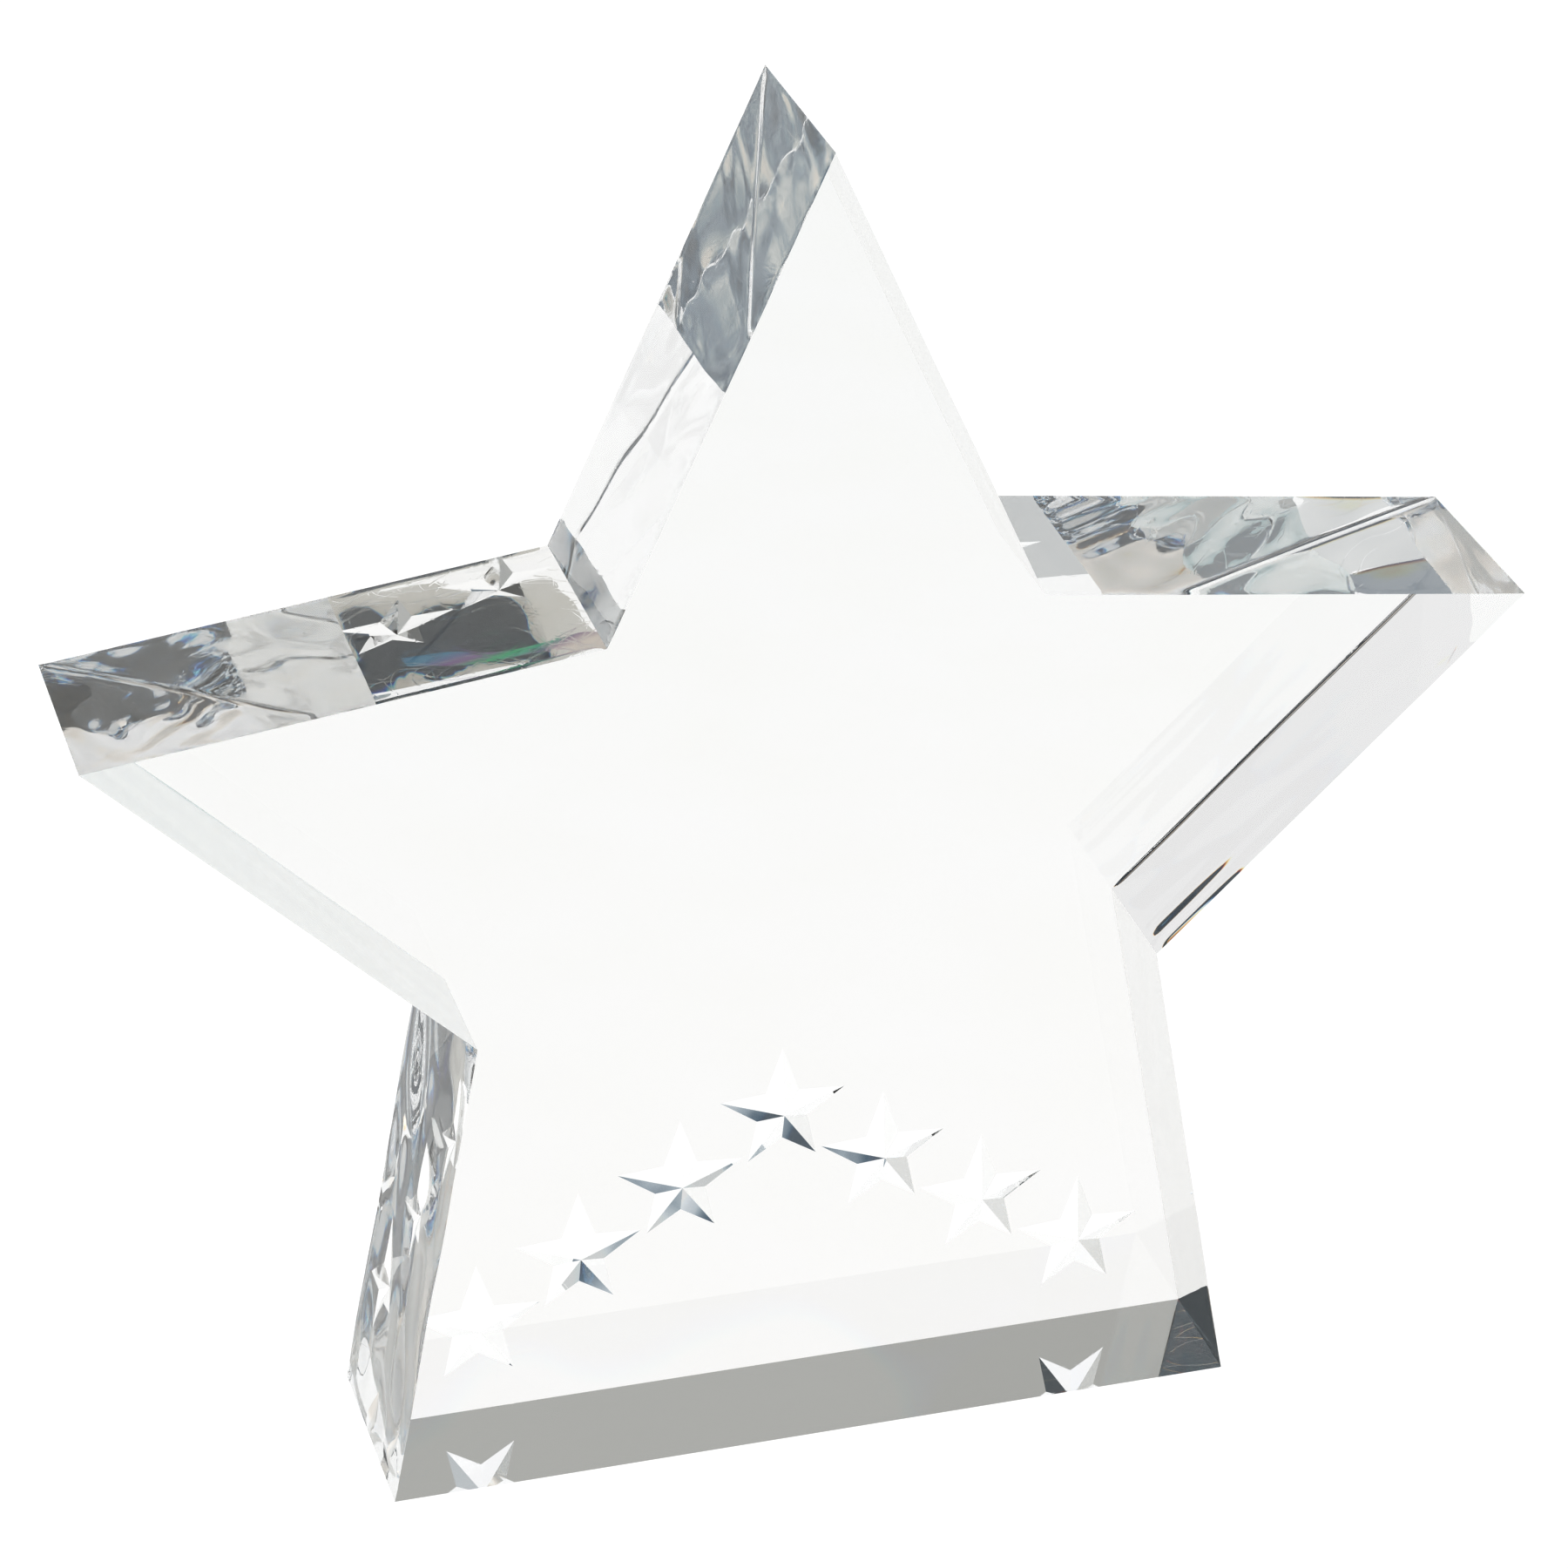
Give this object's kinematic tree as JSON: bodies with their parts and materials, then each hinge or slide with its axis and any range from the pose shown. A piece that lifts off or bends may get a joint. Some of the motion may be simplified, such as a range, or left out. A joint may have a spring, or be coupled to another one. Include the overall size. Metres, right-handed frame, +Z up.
{
  "type": "star trophy",
  "caption": "Star-shaped award cut from one thick block of clear acrylic, standing on its flat base, with a chevron of small faceted stars carved into its back.",
  "frame": {"origin": "middle of the flat base, on the surface that the award stands on", "axes": "+Z up through the top point, +X to the right as the award is read from the front, +Y from the front face to the carved back face"},
  "size_m": [0.1584, 0.0254, 0.1556],
  "materials": {
    "clear_acrylic": "clear cast acrylic, polished to a mirror on every face and edge"
  },
  "bodies": {
    "root": {"star_block": "clear_acrylic"}
  },
  "joints": []
}
